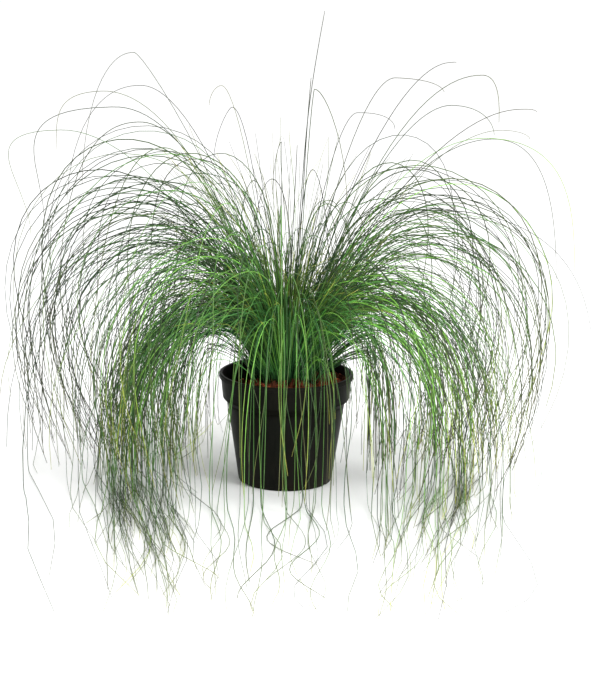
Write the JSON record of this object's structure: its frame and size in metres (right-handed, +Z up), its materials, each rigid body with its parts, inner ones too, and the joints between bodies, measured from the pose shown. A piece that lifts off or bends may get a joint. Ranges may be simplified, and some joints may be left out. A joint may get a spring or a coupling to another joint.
{
  "type": "potted ornamental grass",
  "caption": "Clump of hair-fine arching ornamental grass in a round black plastic nursery pot with a broad rim band, standing, its lowest blades lying on the ground.",
  "frame": {"origin": "centre of the pot's base, on the surface it stands on", "axes": "+Z up along the pot; the side that is mostly seen faces -Y; +X is to the right in that view"},
  "size_m": [0.7347, 0.8502, 0.5996],
  "materials": {
    "pot": "injection-moulded black polypropylene with a soft satin surface",
    "soil": "reddish-brown bark and peat compost, crumbly and matt",
    "grass": "hair-fine leaf blades, bluish green at the crown, bright green along the arch, olive and straw at the tips"
  },
  "bodies": {
    "root": {"high_tuft_back_1": "grass", "high_tuft_back_left_1": "grass", "high_tuft_back_right_1": "grass", "high_tuft_front_1": "grass", "high_tuft_front_left_1": "grass", "high_tuft_front_right_1": "grass", "high_tuft_left_1": "grass", "high_tuft_right_1": "grass", "low_tuft_back_1": "grass", "low_tuft_back_2": "grass", "low_tuft_back_3": "grass", "low_tuft_back_left_1": "grass", "low_tuft_back_left_2": "grass", "low_tuft_back_right_1": "grass", "low_tuft_back_right_2": "grass", "low_tuft_front_1": "grass", "low_tuft_front_2": "grass", "low_tuft_front_3": "grass", "low_tuft_front_left_1": "grass", "low_tuft_front_left_2": "grass", "low_tuft_front_right_1": "grass", "low_tuft_front_right_2": "grass", "low_tuft_left_1": "grass", "low_tuft_left_2": "grass", "low_tuft_right_1": "grass", "low_tuft_right_2": "grass", "middle_tuft_back_1": "grass", "middle_tuft_back_2": "grass", "middle_tuft_back_left_1": "grass", "middle_tuft_back_right_1": "grass", "middle_tuft_front_1": "grass", "middle_tuft_front_left_1": "grass", "middle_tuft_front_left_2": "grass", "middle_tuft_front_right_1": "grass", "middle_tuft_front_right_2": "grass", "middle_tuft_left_1": "grass", "middle_tuft_left_2": "grass", "middle_tuft_right_1": "grass", "middle_tuft_right_2": "grass", "pot": "pot", "soil": "soil", "top_tuft_back_left_1": "grass", "top_tuft_back_right_1": "grass", "top_tuft_front_1": "grass", "top_tuft_left_1": "grass", "top_tuft_right_1": "grass", "upright_tuft": "grass"}
  },
  "joints": []
}
